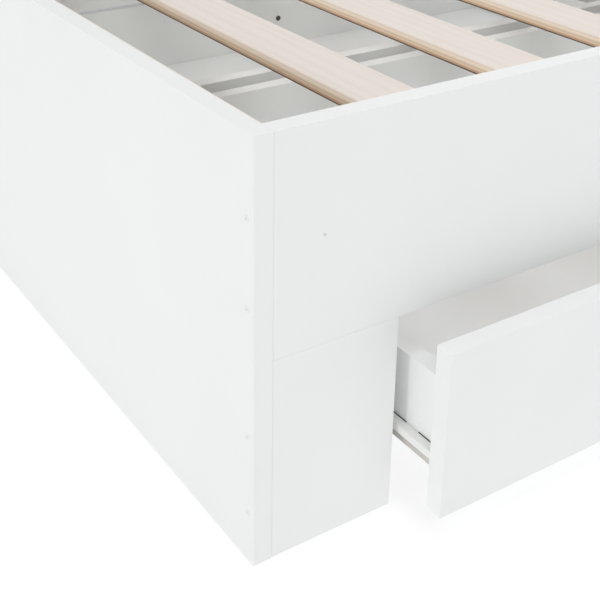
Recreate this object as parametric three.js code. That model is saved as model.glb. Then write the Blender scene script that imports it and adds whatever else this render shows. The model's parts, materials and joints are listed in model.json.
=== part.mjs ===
// Bed frame with four drawers: white-faced board, plywood slats, roller-slide drawers.
// Millimetres, +Z up. X runs along the bed, Y across it; the front is -Y.
// The origin is on the floor, under the middle of the bed.
import * as THREE from "three";

// ---- driving dimensions ----
const LENGTH = 1930; // outside, over the two end panels
const WIDTH = 830; // outside, over the two side rails
const HEIGHT = 324;
const BOARD = 15; // thickness of every board
const GAP = 0.3; // between pieces that touch

const POST_WIDTH = 104; // corner post, along X
const POST_LIFT = 1; // the posts stop just short of the floor
const OPENING_TOP = 162.7; // top of the posts, where the side rail sits

const PARTITION_TOP = 187;
const CENTRE_BOARD_BOTTOM = 22;
const CENTRE_BOARD_SPACING = 40; // between the middles of the two centre boards
const LAP_HEIGHT = 104; // where the halved joints of partitions and centre boards meet
const LAP_PLAY = 0.3; // clearance each side of a halved joint

const SLAT_WIDTH = 60;
const SLAT_THICKNESS = 10.5;
const SLAT_TOP = 277;
const SLAT_TOP_RADIUS = 5; // the upper edges are well rounded, the lower ones only broken
const SLAT_BOTTOM_RADIUS = 0.8;
const SLAT_ARC_STEPS = 6;
const OPEN_SLATS = 12; // evenly spaced, between the two beside the end panels
const END_SLAT_GAP = 6.6; // between an end panel and the slat beside it
const OPEN_SLAT_INSET = 162; // from the outside of an end panel to the nearest open slat
const LEDGE_DEPTH = 20;
const LEDGE_HEIGHT = 40;

const FACE_GAP = 4; // round each drawer face
const FACE_BOTTOM = 22.4;
const FACE_TOP = OPENING_TOP - FACE_GAP;
const SLIDE_SPACE = 12.7; // between a drawer side and the partition beside it
const BOX_BOTTOM = 52.6;
const BOX_TOP = 126;
const BOX_DEPTH = 350;
const OPEN_AT_REST = 51.7; // the front left drawer stands this far open

const RUNNER_SHEET = 1.2; // drawer runner, folded steel
const RUNNER_HEIGHT = 17;
const RUNNER_PROUD = 8; // past the drawer side
const RUNNER_FLANGE = 12; // under the drawer side
const RUNNER_LENGTH = 348;
const RUNNER_LIP = 6; // depth of the turned-down outer wall

// ---- derived places ----
const HALF_LENGTH = LENGTH / 2;
const HALF_WIDTH = WIDTH / 2;
const INNER_X = HALF_LENGTH - BOARD - GAP; // ends of the long pieces
const POST_EDGE = HALF_LENGTH - BOARD - POST_WIDTH; // opening side of a corner post
const PARTITION_X = POST_EDGE + BOARD / 2; // middle of an end partition
const CENTRE_BOARD_Y = CENTRE_BOARD_SPACING / 2;
const RAIL_BOTTOM = OPENING_TOP + GAP;
const SLAT_BOTTOM = SLAT_TOP - SLAT_THICKNESS;

// ---- materials ----
const melamine = new THREE.MeshStandardMaterial({ color: 0xf0f0ee, roughness: 0.45 });
const plywood = new THREE.MeshStandardMaterial({ color: 0xe6ddd4, roughness: 0.7 });
const pine = new THREE.MeshStandardMaterial({ color: 0xe2cda8, roughness: 0.75 });
const steel = new THREE.MeshStandardMaterial({ color: 0xd9dcdc, roughness: 0.35, metalness: 0.7 });

// ---- helpers ----
function meshOf(name, geometry, material) {
  const mesh = new THREE.Mesh(geometry, material);
  mesh.name = name;
  return mesh;
}

// A board between two opposite corners, each [x, y, z].
function board(name, low, high, material = melamine) {
  const size = high.map((top, axis) => top - low[axis]);
  const mesh = meshOf(name, new THREE.BoxGeometry(...size), material);
  mesh.position.set(...low.map((bottom, axis) => bottom + size[axis] / 2));
  return mesh;
}

// An outline in (x, height) with square notches, each { at, half, top: true or false }.
function notchedOutline(halfLength, bottom, top, notches) {
  const shape = new THREE.Shape();
  shape.moveTo(-halfLength, bottom);
  for (const { at, half } of notches.filter((notch) => !notch.top)) {
    shape.lineTo(at - half, bottom);
    shape.lineTo(at - half, LAP_HEIGHT + GAP / 2);
    shape.lineTo(at + half, LAP_HEIGHT + GAP / 2);
    shape.lineTo(at + half, bottom);
  }
  shape.lineTo(halfLength, bottom);
  shape.lineTo(halfLength, top);
  for (const { at, half } of notches.filter((notch) => notch.top).reverse()) {
    shape.lineTo(at + half, top);
    shape.lineTo(at + half, LAP_HEIGHT - GAP / 2);
    shape.lineTo(at - half, LAP_HEIGHT - GAP / 2);
    shape.lineTo(at - half, top);
  }
  shape.lineTo(-halfLength, top);
  return shape;
}

// Extrudes an outline drawn in (horizontal, height) by the given depth, centred on it.
function uprightExtrusion(shape, depth) {
  const geometry = new THREE.ExtrudeGeometry(shape, { depth, bevelEnabled: false });
  geometry.translate(0, 0, -depth / 2);
  geometry.rotateX(Math.PI / 2);
  return geometry;
}

// ---- carcass ----
function endPanel(name, side) {
  const outer = side * HALF_LENGTH;
  const inner = side * (HALF_LENGTH - BOARD);
  return board(
    name,
    [Math.min(outer, inner), -HALF_WIDTH, 0],
    [Math.max(outer, inner), HALF_WIDTH, HEIGHT],
  );
}

function sideRail(name, side) {
  const outer = side * HALF_WIDTH;
  const inner = side * (HALF_WIDTH - BOARD);
  return board(
    name,
    [-INNER_X, Math.min(outer, inner), RAIL_BOTTOM],
    [INNER_X, Math.max(outer, inner), HEIGHT],
  );
}

function cornerPost(name, sideX, sideY) {
  const alongX = [sideX * INNER_X, sideX * POST_EDGE];
  const acrossY = [sideY * HALF_WIDTH, sideY * (HALF_WIDTH - BOARD)];
  return board(
    name,
    [Math.min(...alongX), Math.min(...acrossY), POST_LIFT],
    [Math.max(...alongX), Math.max(...acrossY), OPENING_TOP],
  );
}

function partition(name, atX, clearance) {
  const half = BOARD / 2 + LAP_PLAY;
  const notches = [-1, 1].map((side) => ({ at: side * CENTRE_BOARD_Y, half, top: true }));
  const outline = notchedOutline(HALF_WIDTH - BOARD - clearance, 0, PARTITION_TOP, notches);
  const mesh = meshOf(name, uprightExtrusion(outline, BOARD), melamine);
  mesh.rotation.z = Math.PI / 2;
  mesh.position.x = atX;
  return mesh;
}

function centreBoard(name, side) {
  const half = BOARD / 2 + LAP_PLAY;
  const notches = [-PARTITION_X, 0, PARTITION_X].map((at) => ({ at, half, top: false }));
  const outline = notchedOutline(INNER_X, CENTRE_BOARD_BOTTOM, PARTITION_TOP, notches);
  const mesh = meshOf(name, uprightExtrusion(outline, BOARD), melamine);
  mesh.position.y = side * CENTRE_BOARD_Y;
  return mesh;
}

// ---- mattress base ----
function slatLedge(name, side) {
  const outer = side * (HALF_WIDTH - BOARD - GAP);
  const inner = outer - side * LEDGE_DEPTH;
  const top = SLAT_BOTTOM - GAP;
  return board(
    name,
    [-INNER_X, Math.min(outer, inner), top - LEDGE_HEIGHT],
    [INNER_X, Math.max(outer, inner), top],
    pine,
  );
}

function slat(name, atX) {
  const halfWidth = SLAT_WIDTH / 2;
  const halfThickness = SLAT_THICKNESS / 2;
  const shape = new THREE.Shape();
  const corner = (sideX, sideZ, radius, start) => {
    const x = sideX * (halfWidth - radius);
    const z = sideZ * (halfThickness - radius);
    shape.absarc(x, z, radius, start, start + Math.PI / 2);
  };
  corner(1, 1, SLAT_TOP_RADIUS, 0);
  corner(-1, 1, SLAT_TOP_RADIUS, Math.PI / 2);
  corner(-1, -1, SLAT_BOTTOM_RADIUS, Math.PI);
  corner(1, -1, SLAT_BOTTOM_RADIUS, 1.5 * Math.PI);
  const depth = WIDTH - 2 * (BOARD + GAP);
  const geometry = new THREE.ExtrudeGeometry(shape, {
    depth,
    bevelEnabled: false,
    curveSegments: SLAT_ARC_STEPS,
  });
  geometry.translate(0, 0, -depth / 2);
  geometry.rotateX(Math.PI / 2);
  const mesh = meshOf(name, geometry, plywood);
  mesh.position.set(atX, 0, SLAT_TOP - halfThickness);
  return mesh;
}

function slats() {
  const endSlat = HALF_LENGTH - BOARD - END_SLAT_GAP - SLAT_WIDTH / 2;
  const firstOpen = HALF_LENGTH - OPEN_SLAT_INSET - SLAT_WIDTH / 2;
  const pitch = (2 * firstOpen) / (OPEN_SLATS - 1);
  const places = [-endSlat];
  for (let i = 0; i < OPEN_SLATS; i++) places.push(i * pitch - firstOpen);
  places.push(endSlat);
  return places.map((x, i) => slat("slat_" + String(i + 1).padStart(2, "0"), x));
}

// ---- drawers ----
// A drawer is drawn closed, in a group whose origin is on the floor under the middle of its
// face's outer side, with +Y going in.
const OPENING_WIDTH = POST_EDGE - BOARD / 2; // between an end partition and the middle one
const OPENING_MIDDLE = (POST_EDGE + BOARD / 2) / 2;
const BOX_HALF = OPENING_WIDTH / 2 - SLIDE_SPACE;
const FACE_MIDDLE = (POST_EDGE - FACE_GAP + FACE_GAP / 2) / 2;
const FACE_HALF = (POST_EDGE - FACE_GAP - FACE_GAP / 2) / 2;
const FACE_SHIFT = FACE_MIDDLE - OPENING_MIDDLE;

function runner(name, side) {
  const inner = BOX_HALF + GAP;
  const outer = BOX_HALF + RUNNER_PROUD;
  const bottom = BOX_BOTTOM - GAP;
  const top = BOX_BOTTOM + RUNNER_HEIGHT;
  const points = [
    [BOX_HALF - RUNNER_FLANGE, bottom],
    [BOX_HALF - RUNNER_FLANGE, bottom - RUNNER_SHEET],
    [inner + RUNNER_SHEET, bottom - RUNNER_SHEET],
    [inner + RUNNER_SHEET, top - RUNNER_SHEET],
    [outer - RUNNER_SHEET, top - RUNNER_SHEET],
    [outer - RUNNER_SHEET, top - RUNNER_LIP],
    [outer, top - RUNNER_LIP],
    [outer, top],
    [inner, top],
    [inner, bottom],
  ];
  const shape = new THREE.Shape(points.map(([x, z]) => new THREE.Vector2(side * x, z)));
  const mesh = meshOf(name, uprightExtrusion(shape, RUNNER_LENGTH), steel);
  mesh.position.y = BOARD + GAP + RUNNER_LENGTH / 2;
  return mesh;
}

function drawer(id, outward) {
  const box = new THREE.Group();
  const boxFront = BOARD + GAP;
  const boxBack = boxFront + BOX_DEPTH;
  const sideInner = BOX_HALF - BOARD;
  const shift = FACE_SHIFT * outward;
  box.add(
    board(
      id + "_face",
      [shift - FACE_HALF, 0, FACE_BOTTOM],
      [shift + FACE_HALF, BOARD, FACE_TOP],
    ),
    board(id + "_side_left", [-BOX_HALF, boxFront, BOX_BOTTOM], [-sideInner, boxBack, BOX_TOP]),
    board(id + "_side_right", [sideInner, boxFront, BOX_BOTTOM], [BOX_HALF, boxBack, BOX_TOP]),
    board(
      id + "_back",
      [GAP - sideInner, boxBack - BOARD, BOX_BOTTOM],
      [sideInner - GAP, boxBack, BOX_TOP],
    ),
    board(
      id + "_bottom",
      [GAP - sideInner, boxFront, BOX_BOTTOM],
      [sideInner - GAP, boxBack - BOARD - GAP, BOX_BOTTOM + BOARD],
    ),
    runner(id + "_runner_left", -1),
    runner(id + "_runner_right", 1),
  );
  return box;
}

// Sets a drawer into its opening: sideX, sideY pick the opening, open is how far it stands out.
function placedDrawer(id, sideX, sideY, open) {
  const box = drawer(id, -sideX * sideY);
  box.rotation.z = sideY < 0 ? 0 : Math.PI;
  box.position.set(sideX * OPENING_MIDDLE, sideY * (HALF_WIDTH + open), 0);
  return box;
}

// ---- assembly ----
const group = new THREE.Group();
group.add(
  endPanel("end_panel_left", -1),
  endPanel("end_panel_right", 1),
  sideRail("side_rail_front", -1),
  sideRail("side_rail_back", 1),
  cornerPost("corner_post_front_left", -1, -1),
  cornerPost("corner_post_front_right", 1, -1),
  cornerPost("corner_post_back_left", -1, 1),
  cornerPost("corner_post_back_right", 1, 1),
  partition("partition_left", -PARTITION_X, GAP),
  partition("partition_middle", 0, 1),
  partition("partition_right", PARTITION_X, GAP),
  centreBoard("centre_board_front", -1),
  centreBoard("centre_board_back", 1),
  slatLedge("slat_ledge_front", -1),
  slatLedge("slat_ledge_back", 1),
  ...slats(),
  placedDrawer("drawer_a", -1, -1, OPEN_AT_REST),
  placedDrawer("drawer_b", 1, -1, 0),
  placedDrawer("drawer_c", -1, 1, 0),
  placedDrawer("drawer_d", 1, 1, 0),
);

export default group;
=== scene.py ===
"""White board bed frame with plywood slats and four drawers: materials, hardware, camera, light."""
import json
import math

import bmesh
import bpy
from mathutils import Matrix, Vector


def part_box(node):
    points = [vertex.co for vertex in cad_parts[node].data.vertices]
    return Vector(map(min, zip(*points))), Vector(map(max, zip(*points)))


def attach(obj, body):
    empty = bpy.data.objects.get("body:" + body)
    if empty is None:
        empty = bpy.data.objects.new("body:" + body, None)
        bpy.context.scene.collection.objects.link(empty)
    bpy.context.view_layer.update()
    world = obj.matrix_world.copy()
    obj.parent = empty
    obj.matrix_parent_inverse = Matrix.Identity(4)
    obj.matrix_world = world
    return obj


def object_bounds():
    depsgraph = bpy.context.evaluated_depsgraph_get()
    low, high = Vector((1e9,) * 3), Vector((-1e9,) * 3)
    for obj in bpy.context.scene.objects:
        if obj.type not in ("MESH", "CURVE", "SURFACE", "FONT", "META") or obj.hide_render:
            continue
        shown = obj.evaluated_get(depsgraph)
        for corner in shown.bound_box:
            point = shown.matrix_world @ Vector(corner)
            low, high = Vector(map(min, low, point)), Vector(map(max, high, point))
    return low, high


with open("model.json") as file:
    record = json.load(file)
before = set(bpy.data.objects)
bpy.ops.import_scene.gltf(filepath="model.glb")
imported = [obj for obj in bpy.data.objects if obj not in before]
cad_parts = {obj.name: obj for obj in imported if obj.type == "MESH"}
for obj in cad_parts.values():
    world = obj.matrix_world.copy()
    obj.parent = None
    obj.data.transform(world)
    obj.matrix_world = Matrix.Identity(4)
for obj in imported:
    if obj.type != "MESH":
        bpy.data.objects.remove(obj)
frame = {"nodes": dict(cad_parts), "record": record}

CAD_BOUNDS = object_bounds()
X, Y, Z = range(3)

# ---- which side of the bed each part is on ----
ENDS = {"left": -1, "right": 1}  # along X, seen from the front
RAILS = {"front": -1, "back": 1}  # along Y
DRAWERS = {"drawer_a": "front", "drawer_b": "front", "drawer_c": "back", "drawer_d": "back"}

# ---- sizes, in metres ----
CARCASS_ARRIS = 0.0004  # rounding of the boards' edges
DRAWER_ARRIS = 0.0005
ARRIS_SEGMENTS = 2
ARRIS_ANGLE = 50  # degrees; sharper edges than this are rounded
WELD_DISTANCE = 0.00001  # joins the CAD's split vertices before that
# The CAD keeps 0.3 mm between boards that touch in the real bed; fillers close it.
SEAL_DEPTH = 0.00015  # from the boards' surface down to the fillers
FILLER_CHAMFER = 0.25  # share of a filler's thinnest side

ROUND_SHADING = 40  # degrees; flatter edges than this are shaded as round
RUNNER_SHADING = 30
HEAD_STEPS = 24  # sides of a small round head
KNOB_STEPS = 40
KNOB_SCREW_STEPS = 28
ROLLER_STEPS = 32
AXLE_STEPS = 16

HEAD_SINK = 0.0004  # depth of a small head below the board's surface
HEAD_BROKEN_EDGE = 0.4  # share of its height or radius, whichever is less
PANEL_SCREW_HEIGHTS = (0.267, 0.203, 0.105, 0.042)  # up each corner of an end panel
PANEL_SCREW_RADIUS = 0.0027
PANEL_SCREW_PROUD = 0.0003  # a head's height above the board
PANEL_SOCKET_RADIUS = 0.0008
PANEL_SOCKET_PROUD = 0.00042
RAIL_SCREW_INSET = 0.054  # from the end of the bed to the first rail screw
RAIL_SCREW_COUNT = 7
RAIL_SCREW_HEIGHT = 0.2445
RAIL_SCREW_RADIUS = 0.0011
RAIL_SCREW_PROUD = 0.0003
SLAT_SCREW_INSET = 0.011  # from the end of a slat
SLAT_SCREW_RADIUS = 0.0036
CROSS_ARM = 0.55  # half length of the screw's cross, as a share of its radius
CROSS_WIDTH = 0.11  # half width, the same
CROSS_BOTTOM = -0.0003  # from the slat's surface
CROSS_TOP = 0.00032

KNOB_HEIGHT = 0.108  # above the floor
KNOB_RADIUS = 0.014
KNOB_PROJECTION = 0.021
# A foot, a waist and a domed head: shares of the radius, and heights above the drawer's face.
KNOB_PROFILE = (
    (0.0, 0.0),
    (0.55, 0.0),
    (0.55, 0.0012),
    (0.42, 0.0022),
    (0.36, 0.0055),
    (0.40, 0.0085),
    (0.62, 0.0112),
    (0.88, 0.0128),
    (0.985, 0.0145),
    (1.0, 0.0162),
    (0.975, 0.0180),
    (0.90, 0.0194),
    (0.70, 0.0204),
    (0.35, KNOB_PROJECTION - 0.0001),
    (0.0, KNOB_PROJECTION),
)
KNOB_SCREW_RADIUS = 0.004
KNOB_SCREW_PROUD = 0.0024
KNOB_SCREW_ARC = 5  # steps up its domed head

FITTING_INSET = 0.024  # behind the drawer's face
FITTING_HEIGHTS = (0.0768, 0.1020)
FITTING_RADIUS = 0.0017
FITTING_PROUD = 0.0004

SHEET = 0.0012  # folded steel
SLIDE_CLEARANCE = 0.0127  # between a drawer's side and the partition or post beside it
TRACK_GAP = 0.0003  # between that and the fixed runner
TRACK_START = 0.017  # the fixed runner begins this far behind the bed's side
TRACK_LENGTH = 0.350
TRACK_BOTTOM = 0.0400
TRACK_TOP = 0.0665
TRACK_DEPTH = 0.0105
TRACK_LIP = 0.004  # height of the fixed runner's turned-up edge
ROLLER_RADIUS = 0.0062
ROLLER_WIDTH = 0.0046
ROLLER_HUB = 0.45  # radius of the hub, as a share of the roller's
ROLLER_HUB_PROUD = 0.0006  # the hub stands out on one face
ROLLER_HUB_SUNK = 0.0005  # and is sunk in the other
ROLLER_SINK_MOUTH = 0.5  # radius of the sunk part's mouth, as a share
ROLLER_EDGE = 0.0005
ROLLER_CLEARANCE = 0.0001  # between the back roller and the track under it
ROLLER_SETBACK = 0.008  # from a runner's end to its roller's axle
FRONT_ROLLER_PLACE = 0.0062  # from the wall to the roller
FRONT_ROLLER_HEIGHT = 0.0621
FRONT_AXLE_RADIUS = 0.0011
FRONT_AXLE_LENGTH = 0.0052
BACK_ROLLER_PLACE = 0.0035
BACK_ROLLER_HEIGHT = TRACK_BOTTOM + SHEET + ROLLER_RADIUS + ROLLER_CLEARANCE
BACK_AXLE_RADIUS = 0.0014
BACK_AXLE_LENGTH = 0.0034
BACK_AXLE_OVERLAP = 0.001  # length of the axle inside the roller
BRACKET_PLACE = 0.0099  # from the wall
BRACKET_CLEARANCE = 0.0005  # between the track's turned-up edge and the bracket
BRACKET_BOTTOM = TRACK_BOTTOM + TRACK_LIP + BRACKET_CLEARANCE
BRACKET_TOP = 0.0560
BRACKET_ENDS = (0.016, 0.001)  # before the drawer runner's back end
# Below this height the runner steel is painted darker: painted shade for the strip under its
# turned-down lip.
RUNNER_SHADE_EDGE = 0.0633
# A thin dark strip with one gap along the top of each runner, against the drawer's side: painted
# shadow in the crease between runner and drawer side. What it is can't be seen, so it is built as a
# thin dark strip, the same on all eight runners. It shows on one runner only; all eight get it.
SHADOW_LINE_WIDTH = 0.0009
SHADOW_LINE_HEIGHT = 0.0005
SHADOW_LINE_SINK = 0.0002  # into the runner's top
SHADOW_LINE_GAP = 0.0001  # to the drawer's side
SHADOW_LINE_SLOPE = 0.6  # where its sloping corner starts, as a share of its width and its height
SHADOW_LINE_BREAK = (0.022, 0.036)  # from the runner's front end
SHADOW_LINE_STOP = 0.002  # before the runner's back end


def end_of(box, axis, side):
    """Where a box ends along an axis, on its low side for -1 and its high side for 1."""
    return box[0 if side < 0 else 1][axis]


def middle_of(box, axis):
    return (box[0][axis] + box[1][axis]) / 2


# ---- colours ----
def linear(*rgb):
    """The scene-linear colour of an sRGB one written 0 to 255, with alpha."""
    parts = [c / 255 for c in rgb]
    return (*[c / 12.92 if c <= 0.04045 else ((c + 0.055) / 1.055) ** 2.4 for c in parts], 1.0)


def scaled(color, factor):
    """A colour with each part multiplied, and no part over 1."""
    return tuple(min(1.0, c * factor) for c in color[:3]) + (1.0,)


CARCASS_WHITE = (linear(239, 241, 240), linear(242, 244, 243))  # darker and lighter clouds
DRAWER_WHITE = (linear(245, 247, 247), linear(248, 250, 250))
RUNNER_WHITE = linear(240, 240, 238)
# painted shade: the runner steel's colour under its turned-down lip
RUNNER_LIP_SHADE = linear(194, 188, 182)
ZINC = linear(214, 214, 212)
PLASTIC_WHITE = linear(232, 232, 230)
DARK_STEEL = linear(78, 72, 66)
VENEER = (
    (0.0, linear(231, 221, 213)),
    (0.6, linear(230, 220, 211)),
    (1.0, linear(228, 217, 208)),
)
VENEER_STREAKS = ((0.35, linear(246, 241, 236)), (0.6, linear(254, 253, 252)))
# painted shade along a slat's lower edge, under its rounding
SLAT_LOWER_EDGE_SHADE = linear(62, 47, 35)
# From the bottom of a slat to its top: painted shade along the lower edge, then lighter and darker
# plies.
PLIES = (
    (0.00, SLAT_LOWER_EDGE_SHADE),
    (0.09, SLAT_LOWER_EDGE_SHADE),
    (0.13, linear(104, 80, 60)),
    (0.18, linear(206, 160, 124)),
    (0.30, linear(218, 176, 140)),
    (0.36, linear(248, 212, 176)),
    (0.52, linear(248, 219, 187)),
    (0.58, linear(212, 180, 146)),
    (0.63, linear(246, 223, 195)),
    (0.82, linear(240, 219, 195)),
    (0.88, linear(212, 187, 161)),
    (0.95, linear(228, 214, 200)),
)
PINE_RINGS = ((0.0, linear(236, 221, 198)), (1.0, linear(224, 203, 174)))
PINE_STREAKS = ((0.35, linear(232, 220, 202)), (0.6, linear(253, 250, 245)))


# ---- materials ----
class Shader:
    """A material's node tree, with the few steps that every material here uses."""

    def __init__(self, name):
        self.material = bpy.data.materials.new(name)
        self.material.use_nodes = True
        self.nodes = self.material.node_tree.nodes
        self.links = self.material.node_tree.links
        self.surface = self.nodes["Principled BSDF"]
        self.place = self.nodes.new("ShaderNodeTexCoord").outputs["Object"]

    def feed(self, source, socket_name):
        """Joins a source to one of the surface's own sockets."""
        self.links.new(source, self.surface.inputs[socket_name])

    def stretched(self, scale):
        mapping = self.nodes.new("ShaderNodeMapping")
        mapping.inputs["Scale"].default_value = scale
        self.links.new(self.place, mapping.inputs["Vector"])
        return mapping.outputs["Vector"]

    def noise(self, scale, detail, roughness=0.5, vector=None):
        texture = self.nodes.new("ShaderNodeTexNoise")
        texture.inputs["Scale"].default_value = scale
        texture.inputs["Detail"].default_value = detail
        texture.inputs["Roughness"].default_value = roughness
        self.links.new(vector or self.place, texture.inputs["Vector"])
        return texture.outputs["Fac"]

    def ramp(self, factor, stops):
        """Colours from (position, colour) stops."""
        ramp = self.nodes.new("ShaderNodeValToRGB")
        elements = ramp.color_ramp.elements
        while len(elements) < len(stops):
            elements.new(1.0)
        for element, (position, color) in zip(elements, stops):
            element.position = position
            element.color = color
        self.links.new(factor, ramp.inputs["Fac"])
        return ramp.outputs["Color"]

    def cloudy(self, factor, dark, light):
        """Two close tones in soft patches."""
        return self.ramp(factor, [(0.3, dark), (0.7, light)])

    def spread(self, value, low, high, start=0.0, end=1.0):
        """A value from start to end, turned into one from low to high and held there."""
        node = self.nodes.new("ShaderNodeMapRange")
        node.inputs["From Min"].default_value = start
        node.inputs["From Max"].default_value = end
        node.inputs["To Min"].default_value = low
        node.inputs["To Max"].default_value = high
        self.links.new(value, node.inputs["Value"])
        return node.outputs["Result"]

    def math(self, operation, *values):
        node = self.nodes.new("ShaderNodeMath")
        node.operation = operation
        for socket, value in zip(node.inputs, values):
            if isinstance(value, float):
                socket.default_value = value
            else:
                self.links.new(value, socket)
        return node.outputs["Value"]

    def mix(self, factor, first, second, blend="MIX"):
        node = self.nodes.new("ShaderNodeMix")
        node.data_type = "RGBA"
        node.blend_type = blend
        for name, value in (("Factor", factor), ("A", first), ("B", second)):
            socket = next(s for s in node.inputs if s.name == name and s.enabled)
            if isinstance(value, (float, tuple)):
                socket.default_value = value
            else:
                self.links.new(value, socket)
        return next(s for s in node.outputs if s.enabled)

    def bump(self, height, distance, strength):
        node = self.nodes.new("ShaderNodeBump")
        node.inputs["Strength"].default_value = strength
        node.inputs["Distance"].default_value = distance
        self.links.new(height, node.inputs["Height"])
        self.feed(node.outputs["Normal"], "Normal")

    def part(self, vector, axis):
        """One part of a vector, named X, Y or Z."""
        node = self.nodes.new("ShaderNodeSeparateXYZ")
        self.links.new(vector, node.inputs["Vector"])
        return node.outputs[axis]


def melamine(name, whites):
    """White melamine-faced board: a fine pearl texture, faint cloudiness and a satin gloss."""
    s = Shader(name)
    cloud = s.noise(scale=7.0, detail=4.0)
    s.feed(s.cloudy(cloud, *whites), "Base Color")
    pearl = s.noise(scale=950.0, detail=2.0)
    s.feed(s.spread(pearl, low=0.36, high=0.50), "Roughness")
    s.bump(pearl, distance=0.00012, strength=0.35)
    s.surface.inputs["Specular IOR Level"].default_value = 0.4
    return s.material


def wood_grain(s, scale, along):
    """Long fibres and slower growth bands, stretched along one axis."""
    squeeze = tuple(0.045 if axis == along else 1.0 for axis in "XYZ")
    fibre = s.noise(scale * 9, detail=6.0, roughness=0.65, vector=s.stretched(squeeze))
    slower = tuple(0.10 if axis == along else 1.0 for axis in "XYZ")
    bands = s.nodes.new("ShaderNodeTexWave")
    bands.wave_type = "RINGS"
    bands.rings_direction = along
    bands.inputs["Scale"].default_value = scale
    bands.inputs["Distortion"].default_value = 5.0
    bands.inputs["Detail"].default_value = 3.0
    bands.inputs["Detail Scale"].default_value = 1.4
    s.links.new(s.stretched(slower), bands.inputs["Vector"])
    return fibre, bands.outputs["Fac"]


def ply_edge(s, slat_box):
    """The plies' colours by height, on slightly wavy lines, with painted shade along the lower edge.
    """
    wobble = s.noise(scale=120.0, detail=2.0, vector=s.stretched((1.0, 0.15, 1.0)))
    height = s.math("ADD", s.part(s.place, "Z"), s.spread(wobble, low=-0.0002, high=0.0002))
    share = s.spread(height, low=0.0, high=1.0, start=slat_box[0].z, end=slat_box[1].z)
    return s.ramp(share, PLIES)


def plywood(name, slat_box):
    """Pale sanded veneer on the flat faces and a row of plies round the edges."""
    s = Shader(name)
    fibre, bands = wood_grain(s, scale=26.0, along="Y")
    face = s.mix(0.5, s.ramp(bands, VENEER), s.ramp(fibre, VENEER_STREAKS), "MULTIPLY")
    normal = s.nodes.new("ShaderNodeTexCoord").outputs["Normal"]
    upright = s.math("ABSOLUTE", s.part(normal, "Z"))
    flat = s.spread(upright, low=0.0, high=1.0, start=0.90, end=0.985)
    s.feed(s.mix(flat, ply_edge(s, slat_box), face), "Base Color")
    s.feed(s.spread(fibre, low=0.50, high=0.72), "Roughness")
    s.bump(fibre, distance=0.0003, strength=0.5)
    s.surface.inputs["Specular IOR Level"].default_value = 0.3
    return s.material


def softwood(name):
    """Plain pine with long growth rings."""
    s = Shader(name)
    fibre, bands = wood_grain(s, scale=40.0, along="X")
    color = s.mix(0.6, s.ramp(bands, PINE_RINGS), s.ramp(fibre, PINE_STREAKS), "MULTIPLY")
    s.feed(color, "Base Color")
    s.feed(s.spread(fibre, low=0.55, high=0.75), "Roughness")
    s.bump(fibre, distance=0.0004, strength=0.6)
    return s.material


def coated_steel(name, color, shade_color, edge):
    """Powder-coated sheet, painted darker below the height of the edge as painted shade."""
    s = Shader(name)
    peel = s.noise(scale=1400.0, detail=2.0)
    tone = s.noise(scale=45.0, detail=3.0)
    coat = s.cloudy(tone, scaled(color, 0.93), color)
    # painted shade: a darker colour below the edge's height
    in_shade = s.math("LESS_THAN", s.part(s.place, "Z"), edge)
    s.feed(s.mix(in_shade, coat, shade_color), "Base Color")
    s.feed(s.spread(peel, low=0.26, high=0.40), "Roughness")
    s.bump(peel, distance=0.0001, strength=0.3)
    s.surface.inputs["Coat Weight"].default_value = 0.3
    s.surface.inputs["Coat Roughness"].default_value = 0.2
    return s.material


def bare_metal(name, color):
    """Satin metal, plated or blackened, with faint turning marks."""
    s = Shader(name)
    fine = s.noise(scale=700.0, detail=4.0, vector=s.stretched((1.0, 1.0, 6.0)))
    s.feed(s.cloudy(fine, scaled(color, 0.8), color), "Base Color")
    s.feed(s.spread(fine, low=0.24, high=0.38), "Roughness")
    s.bump(fine, distance=0.00005, strength=0.3)
    s.surface.inputs["Metallic"].default_value = 1.0
    return s.material


def plastic(name, color):
    """Moulded plastic with a faint grain."""
    s = Shader(name)
    fine = s.noise(scale=500.0, detail=2.0)
    s.feed(s.cloudy(fine, color, scaled(color, 1.06)), "Base Color")
    s.feed(s.spread(fine, low=0.38, high=0.5), "Roughness")
    s.bump(fine, distance=0.00006, strength=0.3)
    return s.material


# One material for each of the record's material slots, under the same name.
LOOKS = {
    "white_board": melamine("white_board", CARCASS_WHITE),
    "drawer_board": melamine("drawer_board", DRAWER_WHITE),
    "plywood": plywood("plywood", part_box("slat_02")),  # all slats lie at the same height
    "pine": softwood("pine"),
    "runner_steel": coated_steel("runner_steel", RUNNER_WHITE, RUNNER_LIP_SHADE, RUNNER_SHADE_EDGE),
    "zinc": bare_metal("zinc", ZINC),
    "white_plastic": plastic("white_plastic", PLASTIC_WHITE),
    "dark_steel": bare_metal("dark_steel", DARK_STEEL),
}


# ---- finishes on the CAD nodes ----
def eased(node, radius):
    """Breaks a board's sharp edges."""
    weld = node.modifiers.new("weld", "WELD")
    weld.merge_threshold = WELD_DISTANCE
    bevel = node.modifiers.new("arris", "BEVEL")
    bevel.width = radius
    bevel.segments = ARRIS_SEGMENTS
    bevel.limit_method = "ANGLE"
    bevel.angle_limit = math.radians(ARRIS_ANGLE)
    bevel.harden_normals = False


def finish_nodes():
    """Gives each CAD node its slot's material, and the boards broken edges."""
    slots = {row["node"]: row["material_slot"] for row in frame["record"]["subparts"]}
    for name, node in frame["nodes"].items():
        slot = slots[name]
        node.data.materials.clear()
        node.data.materials.append(LOOKS[slot])
        if slot == "white_board":
            eased(node, CARCASS_ARRIS)
        elif slot in ("drawer_board", "pine"):
            eased(node, DRAWER_ARRIS)


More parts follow.
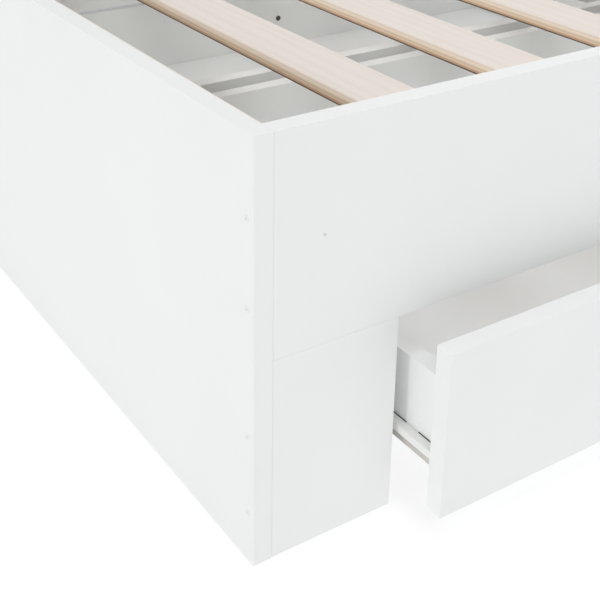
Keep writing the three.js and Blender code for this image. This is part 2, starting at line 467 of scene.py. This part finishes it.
# ---- building pieces ----
def piece(name, bm, body, slot, shading=ROUND_SHADING):
    """Makes the built mesh a piece that rides on a body and has a slot's look."""
    mesh = bpy.data.meshes.new(name)
    bmesh.ops.recalc_face_normals(bm, faces=bm.faces)
    bm.to_mesh(mesh)
    bm.free()
    for polygon in mesh.polygons:
        polygon.use_smooth = True
    mesh.set_sharp_from_angle(angle=math.radians(shading))
    mesh.materials.append(LOOKS[slot])
    obj = bpy.data.objects.new(name, mesh)
    bpy.context.scene.collection.objects.link(obj)
    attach(obj, body)


def turn(bm, profile, matrix, steps):
    """A solid of revolution from (radius, height) points, first and last on the axis."""
    rings = []
    for radius, height in profile:
        count = 1 if radius == 0 else steps
        ring = []
        for i in range(count):
            angle = 2 * math.pi * i / steps
            spot = Vector((radius * math.cos(angle), radius * math.sin(angle), height))
            ring.append(bm.verts.new(matrix @ spot))
        rings.append(ring)
    for low, high in zip(rings, rings[1:]):
        for i in range(steps):
            j = i + 1
            corners = (low[i % len(low)], low[j % len(low)], high[j % len(high)], high[i % len(high)])
            bm.faces.new(dict.fromkeys(corners))


def close(bm, first, second):
    """A solid between two rings of as many vertices."""
    bm.faces.new(first)
    bm.faces.new(reversed(second))
    for i in range(len(first)):
        j = (i + 1) % len(first)
        bm.faces.new((first[j], first[i], second[i], second[j]))


def extrude(bm, outline, start, end, matrix):
    """A prism of the (across, up) outline between two places along the matrix's Y axis."""
    rings = [[bm.verts.new(matrix @ Vector((u, y, z))) for u, z in outline] for y in (start, end)]
    close(bm, *rings)


def facing(place, direction):
    """Moves to place, with the local Z axis along direction."""
    turned = Vector(direction).to_track_quat("Z", "Y").to_matrix().to_4x4()
    return Matrix.Translation(place) @ turned


def domed(radius, height, steps):
    """Profile of a low domed head whose foot is at 0."""
    points = [(0.0, 0.0), (radius, 0.0)]
    for i in range(1, steps):
        angle = math.pi / 2 * i / steps
        points.append((radius * math.cos(angle), height * math.sin(angle)))
    return points + [(0.0, height)]


def low_cap(bm, matrix, radius, height):
    """A flat cap with a broken edge, standing a little proud of a board."""
    edge = min(height, radius) * HEAD_BROKEN_EDGE
    outline = [(0.0, -HEAD_SINK), (radius, -HEAD_SINK), (radius, height - edge)]
    turn(bm, outline + [(radius - edge, height), (0.0, height)], matrix, HEAD_STEPS)


def cross_head(bm, matrix, radius):
    """A dished screw head, sunk into the wood, with a cross in relief."""
    dish = [(0.0, -0.0002), (radius * 0.3, -0.0001), (radius * 0.9, 0.00025), (radius, 0.0001)]
    underside = [(radius * 0.98, -0.0012), (0.0, -0.0014)]
    turn(bm, dish + underside, matrix, HEAD_STEPS)
    arm = radius * CROSS_ARM
    wide = radius * CROSS_WIDTH
    corners = ((-arm, -wide), (arm, -wide), (arm, wide), (-arm, wide))
    for angle in (0.0, math.pi / 2):
        blade = matrix @ Matrix.Rotation(angle, 4, "Z")
        heights = (CROSS_BOTTOM, CROSS_TOP)
        rings = [[bm.verts.new(blade @ Vector((x, y, z))) for x, y in corners] for z in heights]
        close(bm, *rings)


# ---- hardware on the carcass ----
def panel_screws():
    """Four capped connecting screws up each corner of both end panels."""
    for end, side in ENDS.items():
        outer = end_of(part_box("end_panel_" + end), X, side)
        caps, sockets = bmesh.new(), bmesh.new()
        for rail in RAILS:
            middle = middle_of(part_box("side_rail_" + rail), Y)
            for z in PANEL_SCREW_HEIGHTS:
                head = facing((outer, middle, z), (side, 0, 0))
                low_cap(caps, head, PANEL_SCREW_RADIUS, PANEL_SCREW_PROUD)
                low_cap(sockets, head, PANEL_SOCKET_RADIUS, PANEL_SOCKET_PROUD)
        piece("panel_screws_" + end, caps, "carcass", "white_plastic")
        piece("panel_screw_sockets_" + end, sockets, "carcass", "zinc")


def rail_screws():
    """Screws that hold the slat ledges. The photo shows one; the rest of the row is assumed."""
    reach = CAD_BOUNDS[1][0] - RAIL_SCREW_INSET
    for rail, side in RAILS.items():
        outer = end_of(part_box("side_rail_" + rail), Y, side)
        bm = bmesh.new()
        for i in range(RAIL_SCREW_COUNT):
            x = -reach + 2 * reach * i / (RAIL_SCREW_COUNT - 1)
            head = facing((x, outer, RAIL_SCREW_HEIGHT), (0, side, 0))
            low_cap(bm, head, RAIL_SCREW_RADIUS, RAIL_SCREW_PROUD)
        piece("rail_screws_" + rail, bm, "carcass", "zinc")


def filler(bm, low, high):
    """A thin block between two corners, with its long edges broken."""
    chamfer = min(h - l for l, h in zip(low, high)) * FILLER_CHAMFER
    outline = [
        (low[X] + chamfer, low[Z]),
        (high[X] - chamfer, low[Z]),
        (high[X], low[Z] + chamfer),
        (high[X], high[Z] - chamfer),
        (high[X] - chamfer, high[Z]),
        (low[X] + chamfer, high[Z]),
        (low[X], high[Z] - chamfer),
        (low[X], low[Z] + chamfer),
    ]
    extrude(bm, outline, low[Y], high[Y], Matrix.Identity(4))


def joint_fillers():
    """White strips in the CAD's gaps between end panel, rail and post, just under the surface."""
    inset = Vector((SEAL_DEPTH, SEAL_DEPTH, SEAL_DEPTH))
    for end, side in ENDS.items():
        panel_inner = end_of(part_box("end_panel_" + end), X, -side)
        for name in RAILS:
            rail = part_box("side_rail_" + name)
            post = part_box(f"corner_post_{name}_{end}")
            bm = bmesh.new()
            for board in (rail, post):
                low, high = board[0] + inset, board[1] - inset
                low.x, high.x = sorted((panel_inner, end_of(board, X, side)))
                filler(bm, low, high)
            low, high = post[0] + inset, post[1] - inset
            low.z, high.z = post[1].z, rail[0].z
            filler(bm, low, high)
            piece(f"joint_filler_{name}_{end}", bm, "carcass", "white_board")


def slat_screws():
    """Screws through the slats' ends. The photo shows no slat's end, so they are assumed."""
    slats = sorted(n for n in frame["nodes"] if n.startswith("slat_") and n[5:].isdigit())
    for rail, side in RAILS.items():
        bm = bmesh.new()
        for slat in slats:
            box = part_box(slat)
            y = end_of(box, Y, side) - side * SLAT_SCREW_INSET
            place = (middle_of(box, X), y, box[1].z)
            cross_head(bm, facing(place, (0, 0, 1)), SLAT_SCREW_RADIUS)
        piece("slat_screws_" + rail, bm, "carcass", "zinc")


# ---- hardware on the drawers ----
def knob(drawer, side):
    """A knob and its screw. The photo shows only the tip of one dark spot; the rest is assumed."""
    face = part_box(drawer + "_face")
    middle = middle_of(face, X)
    profile = [(KNOB_RADIUS * share, height) for share, height in KNOB_PROFILE]
    foot = facing((middle, end_of(face, Y, side), KNOB_HEIGHT), (0, side, 0))
    bm = bmesh.new()
    turn(bm, profile, foot, KNOB_STEPS)
    piece(drawer + "_knob", bm, drawer, "zinc")

    head = facing((middle, end_of(face, Y, -side), KNOB_HEIGHT), (0, -side, 0))
    dome = domed(KNOB_SCREW_RADIUS, KNOB_SCREW_PROUD, KNOB_SCREW_ARC)
    bm = bmesh.new()
    turn(bm, dome, head, KNOB_SCREW_STEPS)
    piece(drawer + "_knob_screw", bm, drawer, "dark_steel")


def side_fittings(drawer, side):
    """Small marks of the fittings that join a drawer's sides to its face.

    A back drawer's left side, seen from its own face, is the one with the higher X. So on the back
    drawers these marks lie on the sides' inner faces, and on the front ones on the outer faces.
    """
    y = end_of(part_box(drawer + "_face"), Y, -side) - side * FITTING_INSET
    bm = bmesh.new()
    for end, outward in ENDS.items():
        outer = end_of(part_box(f"{drawer}_side_{end}"), X, outward)
        for z in FITTING_HEIGHTS:
            head = facing((outer, y, z), (outward, 0, 0))
            low_cap(bm, head, FITTING_RADIUS, FITTING_PROUD)
    piece(drawer + "_side_fittings", bm, drawer, "drawer_board")


def roller(bm, matrix):
    """A roller turned about the matrix's Z axis, from its hub's proud face."""
    hub = ROLLER_RADIUS * ROLLER_HUB
    rim = ROLLER_RADIUS - ROLLER_EDGE
    profile = [
        (0.0, 0.0),
        (hub, 0.0),
        (hub, ROLLER_HUB_PROUD),
        (rim, ROLLER_HUB_PROUD),
        (ROLLER_RADIUS, ROLLER_HUB_PROUD + ROLLER_EDGE),
        (ROLLER_RADIUS, ROLLER_WIDTH - ROLLER_EDGE),
        (rim, ROLLER_WIDTH),
        (ROLLER_RADIUS * ROLLER_SINK_MOUTH, ROLLER_WIDTH),
        (hub, ROLLER_WIDTH - ROLLER_HUB_SUNK),
        (0.0, ROLLER_WIDTH - ROLLER_HUB_SUNK),
    ]
    turn(bm, profile, matrix, ROLLER_STEPS)


def axle(bm, matrix, radius, length):
    turn(bm, [(0.0, 0.0), (radius, 0.0), (radius, length), (0.0, length)], matrix, AXLE_STEPS)


class Runner:
    """One runner's small parts, all assumed but the painted shadow line. X runs from the wall to the
    drawer's side, Y from the bed's side into the bed, and Z up from the floor."""

    def __init__(self, drawer, end):
        self.drawer = drawer
        self.end = end
        rail = DRAWERS[drawer]
        side = RAILS[rail]
        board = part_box(f"{drawer}_side_{end}")
        # Left and right are seen from the drawer's own face, so the place tells which way is out.
        outward = -1 if middle_of(board, X) < middle_of(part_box(drawer + "_bottom"), X) else 1
        wall = end_of(board, X, outward) + outward * SLIDE_CLEARANCE
        bed_side = end_of(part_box("side_rail_" + rail), Y, side)
        rows = ((-outward, 0, 0, wall), (0, -side, 0, bed_side), (0, 0, 1, 0), (0, 0, 0, 1))
        self.matrix = Matrix(rows)
        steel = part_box(f"{drawer}_runner_{end}")
        self.front = (bed_side - end_of(steel, Y, side)) * side  # of the drawer's half, in Y
        self.back = (bed_side - end_of(steel, Y, -side)) * side
        self.top = steel[1].z

    def piece(self, what, bm, body, slot):
        piece(f"{self.drawer}_{what}_{self.end}", bm, body, slot, RUNNER_SHADING)

    def across(self, x, y, z):
        """A place in the runner, with the local Z axis from the wall to the drawer's side."""
        return self.matrix @ facing((x, y, z), (1, 0, 0))

    def track(self):
        """The fixed half, an upright sheet with a turned-up lower edge."""
        inner = TRACK_DEPTH - SHEET
        outline = [
            (TRACK_GAP, TRACK_BOTTOM),
            (TRACK_DEPTH, TRACK_BOTTOM),
            (TRACK_DEPTH, TRACK_BOTTOM + TRACK_LIP),
            (inner, TRACK_BOTTOM + TRACK_LIP),
            (inner, TRACK_BOTTOM + SHEET),
            (TRACK_GAP + SHEET, TRACK_BOTTOM + SHEET),
            (TRACK_GAP + SHEET, TRACK_TOP),
            (TRACK_GAP, TRACK_TOP),
        ]
        bm = bmesh.new()
        extrude(bm, outline, TRACK_START, TRACK_START + TRACK_LENGTH, self.matrix)
        self.piece("track", bm, "carcass", "runner_steel")

    def front_roller(self):
        y = TRACK_START + ROLLER_SETBACK
        bm = bmesh.new()
        roller(bm, self.across(FRONT_ROLLER_PLACE, y, FRONT_ROLLER_HEIGHT))
        foot = self.across(TRACK_GAP + SHEET, y, FRONT_ROLLER_HEIGHT)
        axle(bm, foot, FRONT_AXLE_RADIUS, FRONT_AXLE_LENGTH)
        self.piece("front_roller", bm, "carcass", "white_plastic")

    def back_roller(self):
        y = self.back - ROLLER_SETBACK
        bm = bmesh.new()
        roller(bm, self.across(BACK_ROLLER_PLACE, y, BACK_ROLLER_HEIGHT))
        x = BACK_ROLLER_PLACE + ROLLER_WIDTH - BACK_AXLE_OVERLAP
        axle(bm, self.across(x, y, BACK_ROLLER_HEIGHT), BACK_AXLE_RADIUS, BACK_AXLE_LENGTH)
        self.piece("back_roller", bm, self.drawer, "white_plastic")

    def seam(self):
        """A thin dark strip of painted shadow along the top of the drawer's half, against its side,
        with its one gap.
        """
        far = SLIDE_CLEARANCE - SHADOW_LINE_GAP
        near = SLIDE_CLEARANCE - SHADOW_LINE_WIDTH
        low, high = self.top - SHADOW_LINE_SINK, self.top + SHADOW_LINE_HEIGHT
        outline = [
            (near, low),
            (far, low),
            (far, high),
            (SLIDE_CLEARANCE - SHADOW_LINE_WIDTH * SHADOW_LINE_SLOPE, high),
            (near, self.top + SHADOW_LINE_HEIGHT * SHADOW_LINE_SLOPE),
        ]
        bm = bmesh.new()
        extrude(bm, outline, self.front, self.front + SHADOW_LINE_BREAK[0], self.matrix)
        extrude(bm, outline, self.front + SHADOW_LINE_BREAK[1], self.back - SHADOW_LINE_STOP, self.matrix)
        # painted shadow: a dark strip in the crease between the runner and the drawer's side
        self.piece("runner_shadow_line", bm, self.drawer, "dark_steel")

    def roller_bracket(self):
        """The sheet on the drawer's half that holds the back roller."""
        far = BRACKET_PLACE + SHEET
        outline = [
            (BRACKET_PLACE, BRACKET_BOTTOM),
            (far, BRACKET_BOTTOM),
            (far, BRACKET_TOP),
            (BRACKET_PLACE, BRACKET_TOP),
        ]
        start, end = [self.back - before for before in BRACKET_ENDS]
        bm = bmesh.new()
        extrude(bm, outline, start, end, self.matrix)
        self.piece("roller_bracket", bm, self.drawer, "runner_steel")


def hardware():
    """All the pieces that the CAD leaves out."""
    panel_screws()
    rail_screws()
    joint_fillers()
    slat_screws()
    for drawer, rail in DRAWERS.items():
        knob(drawer, RAILS[rail])
        side_fittings(drawer, RAILS[rail])
        for end in ENDS:
            runner = Runner(drawer, end)
            runner.track()
            runner.front_roller()
            runner.back_roller()
            runner.seam()
            runner.roller_bracket()


# ---- stage ----
FLOOR_GREY = 0.60
FLOOR_GLOW = 0.54  # its own white light, for a white ground under the bed too
FLOOR_DROP = 0.0005  # below the bed's feet, so that the two don't share a plane
FLOOR_REACH = 30.0  # half of its side
SKY = ((0.0, 0.90), (0.12, 0.72), (0.24, 0.38), (1.0, 0.28))  # (sine of elevation, strength)
VIEW_GAMMA = 1.3  # lifts the shadows, as a pale product picture does


def floor():
    """A plain pale floor that gives off some light of its own."""
    shader = Shader("studio_floor")
    surface = shader.surface.inputs
    surface["Base Color"].default_value = (FLOOR_GREY, FLOOR_GREY, FLOOR_GREY, 1.0)
    surface["Emission Color"].default_value = (1.0, 1.0, 1.0, 1.0)
    surface["Emission Strength"].default_value = FLOOR_GLOW
    surface["Roughness"].default_value = 0.9
    surface["Specular IOR Level"].default_value = 0.0
    bm = bmesh.new()
    bmesh.ops.create_grid(bm, x_segments=1, y_segments=1, size=FLOOR_REACH)
    mesh = bpy.data.meshes.new("studio_floor")
    bm.to_mesh(mesh)
    bm.free()
    mesh.materials.append(shader.material)
    obj = bpy.data.objects.new("studio_floor", mesh)
    obj.location.z = -FLOOR_DROP
    bpy.context.scene.collection.objects.link(obj)


def softbox(name, place, target, size, power):
    """A round area light at place, aimed at target, in metres and watts."""
    data = bpy.data.lights.new(name, "AREA")
    data.shape = "DISK"
    data.size = size
    data.energy = power
    obj = bpy.data.objects.new(name, data)
    obj.location = place
    obj.rotation_euler = (Vector(target) - Vector(place)).to_track_quat("-Z", "Y").to_euler()
    bpy.context.scene.collection.objects.link(obj)


def sky():
    """Soft light from all round, stronger towards the horizon than overhead."""
    world = bpy.data.worlds.new("studio")
    world.use_nodes = True
    nodes, links = world.node_tree.nodes, world.node_tree.links
    direction = nodes.new("ShaderNodeTexCoord")
    split = nodes.new("ShaderNodeSeparateXYZ")
    links.new(direction.outputs["Generated"], split.inputs["Vector"])
    rise = nodes.new("ShaderNodeValToRGB")
    stops = rise.color_ramp.elements
    while len(stops) < len(SKY):
        stops.new(1.0)
    for stop, (height, strength) in zip(stops, SKY):
        stop.position = height
        stop.color = (strength, strength, strength, 1.0)
    links.new(split.outputs["Z"], rise.inputs["Fac"])
    links.new(rise.outputs["Color"], nodes["Background"].inputs["Color"])
    nodes["Background"].inputs["Strength"].default_value = 1.0
    bpy.context.scene.world = world


def studio():
    floor()
    sky()
    softbox("left_softbox", (-6.0, -0.62, 1.7), (-0.9, -0.4, 0.15), size=0.7, power=48)
    softbox("front_softbox", (-1.4, -3.4, 3.6), (-0.2, 0.0, 0.1), size=2.0, power=31)
    softbox("back_softbox", (2.7, 2.3, 4.0), (0.3, 0.1, 0.1), size=2.0, power=40)
    softbox("top_softbox", (-0.3, -0.2, 3.8), (0.0, 0.0, 0.0), size=3.0, power=59)
    bpy.context.scene.view_settings.view_transform = "Standard"
    bpy.context.scene.view_settings.gamma = VIEW_GAMMA


# ---- camera ----
# Fitted to the corner that the photo shows, with a shift small enough for the other views.
CAMERA_PLACE = (-1.286, -0.939, 0.577)
CAMERA_HEADING = 33.09  # degrees from +Y towards +X
CAMERA_DROP = 22.15  # degrees below level
CAMERA_ROLL = 0.54
CAMERA_LENS = 67.8  # mm
CAMERA_SENSOR = 36.0  # mm
CAMERA_SHIFT = (0.03, -0.28)
CAMERA_NEAREST = 0.05  # metres


def camera():
    data = bpy.data.cameras.new("camera")
    data.sensor_width = CAMERA_SENSOR
    data.lens = CAMERA_LENS
    data.shift_x, data.shift_y = CAMERA_SHIFT
    data.clip_start = CAMERA_NEAREST
    obj = bpy.data.objects.new("camera", data)
    heading = Matrix.Rotation(math.radians(-CAMERA_HEADING), 4, "Z")
    drop = Matrix.Rotation(math.radians(90 - CAMERA_DROP), 4, "X")
    roll = Matrix.Rotation(math.radians(CAMERA_ROLL), 4, "Z")
    obj.matrix_world = Matrix.Translation(CAMERA_PLACE) @ heading @ drop @ roll
    bpy.context.scene.collection.objects.link(obj)
    bpy.context.scene.camera = obj


finish_nodes()
hardware()
studio()
camera()
